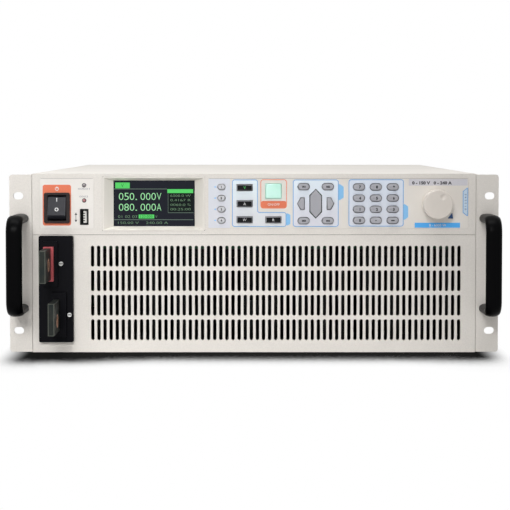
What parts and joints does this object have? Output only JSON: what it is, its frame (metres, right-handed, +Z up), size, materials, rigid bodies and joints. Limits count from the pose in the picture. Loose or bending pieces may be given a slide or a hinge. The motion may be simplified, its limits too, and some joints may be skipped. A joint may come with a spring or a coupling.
{
  "type": "dc electronic load",
  "caption": "Rack-mounted DC electronic load: slotted front grille, colour display, keypad, knob, rocker switch, bow handles and bar terminals.",
  "frame": {"origin": "middle of the tray's underside, where the case rests", "axes": "+X to the viewer's right, -Y towards the viewer at the front panel, +Z up"},
  "size_m": [0.4826, 0.5755, 0.177],
  "materials": {
    "case_paint": "fine textured ivory powder coat",
    "handle_black": "satin black coat",
    "film_print": "fine matt printed film",
    "bezel_ivory": "moulded, matt",
    "screen": "dark glass with a lit picture",
    "switch_black": "moulded, glossy",
    "rocker_grey": "moulded, satin",
    "socket_black": "moulded, matt",
    "lamp_lens": "clear lens, unlit",
    "board_green": "solder mask",
    "encoder_metal": "plated",
    "knob_cream": "moulded, soft satin",
    "block_black": "moulded, satin",
    "collar_red": "moulded, satin",
    "bar_plated": "tin-plated copper, dull",
    "screw_zinc": "bright zinc plate",
    "sink_black": "black anodised",
    "fan_black": "moulded, matt",
    "key_mint": "translucent lit key",
    "key_grey": "fine matt silicone"
  },
  "bodies": {
    "case": {"chassis_tray": "case_paint", "top_cover": "case_paint", "rear_panel": "case_paint", "rack_ear_left": "case_paint", "rack_ear_right": "case_paint", "handle_left": "handle_black", "handle_right": "handle_black", "control_panel": "case_paint", "grille_panel": "case_paint", "front_overlays": "film_print", "display_bezel": "bezel_ivory", "display_module": "screen", "switch_frame": "switch_black", "usb_socket": "socket_black", "status_leds": "lamp_lens", "key_board": "board_green", "encoder": "encoder_metal", "terminal_block": "block_black", "positive_collar": "collar_red", "positive_bar": "bar_plated", "negative_bar": "bar_plated", "fasteners": "screw_zinc", "heat_sinks": "sink_black", "power_boards": "board_green", "supply_unit": "board_green", "fan_frames": "fan_black", "mains_inlet": "socket_black"},
    "power_rocker": {"power_rocker": "rocker_grey"},
    "knob": {"knob": "knob_cream"},
    "up_down_key": {"up_down_key": "key_grey"},
    "fan_rotor_left": {"fan_rotor_left": "fan_black"},
    "fan_rotor_middle": {"fan_rotor_middle": "fan_black"},
    "fan_rotor_right": {"fan_rotor_right": "fan_black"},
    "soft_key_1": {"soft_key_1": "key_grey"},
    "soft_key_2": {"soft_key_2": "key_grey"},
    "soft_key_3": {"soft_key_3": "key_grey"},
    "soft_key_4": {"soft_key_4": "key_grey"},
    "mode_key_1": {"mode_key_1": "key_grey"},
    "mode_key_2": {"mode_key_2": "key_grey"},
    "mode_key_3": {"mode_key_3": "key_grey"},
    "mode_key_4": {"mode_key_4": "key_grey"},
    "load_key": {"load_key": "key_mint"},
    "escape_key": {"escape_key": "key_grey"},
    "enter_key": {"enter_key": "key_grey"},
    "shift_key": {"shift_key": "key_grey"},
    "menu_key": {"menu_key": "key_grey"},
    "left_key": {"left_key": "key_grey"},
    "right_key": {"right_key": "key_grey"},
    "number_key_7": {"number_key_7": "key_grey"},
    "number_key_8": {"number_key_8": "key_grey"},
    "number_key_9": {"number_key_9": "key_grey"},
    "number_key_4": {"number_key_4": "key_grey"},
    "number_key_5": {"number_key_5": "key_grey"},
    "number_key_6": {"number_key_6": "key_grey"},
    "number_key_1": {"number_key_1": "key_grey"},
    "number_key_2": {"number_key_2": "key_grey"},
    "number_key_3": {"number_key_3": "key_grey"},
    "number_key_0": {"number_key_0": "key_grey"},
    "number_key_point": {"number_key_point": "key_grey"},
    "number_key_clear": {"number_key_clear": "key_grey"}
  },
  "joints": [
    {"name": "rocker_tilt", "type": "hinge", "parent": "case", "child": "power_rocker", "pos_m": [-0.1942, -0.2589, 0.1434], "axis": [1, 0, 0], "range_deg": [0, 24]},
    {"name": "knob_turn", "type": "hinge", "parent": "case", "child": "knob", "pos_m": [0.18, -0.263, 0.1473], "axis": [0, 1, 0], "continuous": true},
    {"name": "up_down_rock", "type": "hinge", "parent": "case", "child": "up_down_key", "pos_m": [0.0609, -0.2584, 0.1475], "axis": [1, 0, 0], "range_deg": [-3, 3], "stiffness_Nm_per_rad": 0.5},
    {"name": "fan_spin_left", "type": "hinge", "parent": "case", "child": "fan_rotor_left", "pos_m": [-0.1025, 0.24, 0.088], "axis": [0, 1, 0], "continuous": true},
    {"name": "fan_spin_middle", "type": "hinge", "parent": "case", "child": "fan_rotor_middle", "pos_m": [0.0215, 0.24, 0.088], "axis": [0, 1, 0], "continuous": true},
    {"name": "fan_spin_right", "type": "hinge", "parent": "case", "child": "fan_rotor_right", "pos_m": [0.1455, 0.24, 0.088], "axis": [0, 1, 0], "continuous": true},
    {"name": "soft_key_1_press", "type": "slide", "parent": "case", "child": "soft_key_1", "axis": [0, 1, 0], "range_m": [0, 0.001], "stiffness_N_per_m": 600},
    {"name": "soft_key_2_press", "type": "slide", "parent": "case", "child": "soft_key_2", "axis": [0, 1, 0], "range_m": [0, 0.001], "stiffness_N_per_m": 600},
    {"name": "soft_key_3_press", "type": "slide", "parent": "case", "child": "soft_key_3", "axis": [0, 1, 0], "range_m": [0, 0.001], "stiffness_N_per_m": 600},
    {"name": "soft_key_4_press", "type": "slide", "parent": "case", "child": "soft_key_4", "axis": [0, 1, 0], "range_m": [0, 0.001], "stiffness_N_per_m": 600},
    {"name": "mode_key_1_press", "type": "slide", "parent": "case", "child": "mode_key_1", "axis": [0, 1, 0], "range_m": [0, 0.001], "stiffness_N_per_m": 600},
    {"name": "mode_key_2_press", "type": "slide", "parent": "case", "child": "mode_key_2", "axis": [0, 1, 0], "range_m": [0, 0.001], "stiffness_N_per_m": 600},
    {"name": "mode_key_3_press", "type": "slide", "parent": "case", "child": "mode_key_3", "axis": [0, 1, 0], "range_m": [0, 0.001], "stiffness_N_per_m": 600},
    {"name": "mode_key_4_press", "type": "slide", "parent": "case", "child": "mode_key_4", "axis": [0, 1, 0], "range_m": [0, 0.001], "stiffness_N_per_m": 600},
    {"name": "load_key_press", "type": "slide", "parent": "case", "child": "load_key", "axis": [0, 1, 0], "range_m": [0, 0.001], "stiffness_N_per_m": 600},
    {"name": "escape_key_press", "type": "slide", "parent": "case", "child": "escape_key", "axis": [0, 1, 0], "range_m": [0, 0.001], "stiffness_N_per_m": 600},
    {"name": "enter_key_press", "type": "slide", "parent": "case", "child": "enter_key", "axis": [0, 1, 0], "range_m": [0, 0.001], "stiffness_N_per_m": 600},
    {"name": "shift_key_press", "type": "slide", "parent": "case", "child": "shift_key", "axis": [0, 1, 0], "range_m": [0, 0.001], "stiffness_N_per_m": 600},
    {"name": "menu_key_press", "type": "slide", "parent": "case", "child": "menu_key", "axis": [0, 1, 0], "range_m": [0, 0.001], "stiffness_N_per_m": 600},
    {"name": "left_key_press", "type": "slide", "parent": "case", "child": "left_key", "axis": [0, 1, 0], "range_m": [0, 0.001], "stiffness_N_per_m": 600},
    {"name": "right_key_press", "type": "slide", "parent": "case", "child": "right_key", "axis": [0, 1, 0], "range_m": [0, 0.001], "stiffness_N_per_m": 600},
    {"name": "number_key_7_press", "type": "slide", "parent": "case", "child": "number_key_7", "axis": [0, 1, 0], "range_m": [0, 0.001], "stiffness_N_per_m": 600},
    {"name": "number_key_8_press", "type": "slide", "parent": "case", "child": "number_key_8", "axis": [0, 1, 0], "range_m": [0, 0.001], "stiffness_N_per_m": 600},
    {"name": "number_key_9_press", "type": "slide", "parent": "case", "child": "number_key_9", "axis": [0, 1, 0], "range_m": [0, 0.001], "stiffness_N_per_m": 600},
    {"name": "number_key_4_press", "type": "slide", "parent": "case", "child": "number_key_4", "axis": [0, 1, 0], "range_m": [0, 0.001], "stiffness_N_per_m": 600},
    {"name": "number_key_5_press", "type": "slide", "parent": "case", "child": "number_key_5", "axis": [0, 1, 0], "range_m": [0, 0.001], "stiffness_N_per_m": 600},
    {"name": "number_key_6_press", "type": "slide", "parent": "case", "child": "number_key_6", "axis": [0, 1, 0], "range_m": [0, 0.001], "stiffness_N_per_m": 600},
    {"name": "number_key_1_press", "type": "slide", "parent": "case", "child": "number_key_1", "axis": [0, 1, 0], "range_m": [0, 0.001], "stiffness_N_per_m": 600},
    {"name": "number_key_2_press", "type": "slide", "parent": "case", "child": "number_key_2", "axis": [0, 1, 0], "range_m": [0, 0.001], "stiffness_N_per_m": 600},
    {"name": "number_key_3_press", "type": "slide", "parent": "case", "child": "number_key_3", "axis": [0, 1, 0], "range_m": [0, 0.001], "stiffness_N_per_m": 600},
    {"name": "number_key_0_press", "type": "slide", "parent": "case", "child": "number_key_0", "axis": [0, 1, 0], "range_m": [0, 0.001], "stiffness_N_per_m": 600},
    {"name": "number_key_point_press", "type": "slide", "parent": "case", "child": "number_key_point", "axis": [0, 1, 0], "range_m": [0, 0.001], "stiffness_N_per_m": 600},
    {"name": "number_key_clear_press", "type": "slide", "parent": "case", "child": "number_key_clear", "axis": [0, 1, 0], "range_m": [0, 0.001], "stiffness_N_per_m": 600}
  ]
}
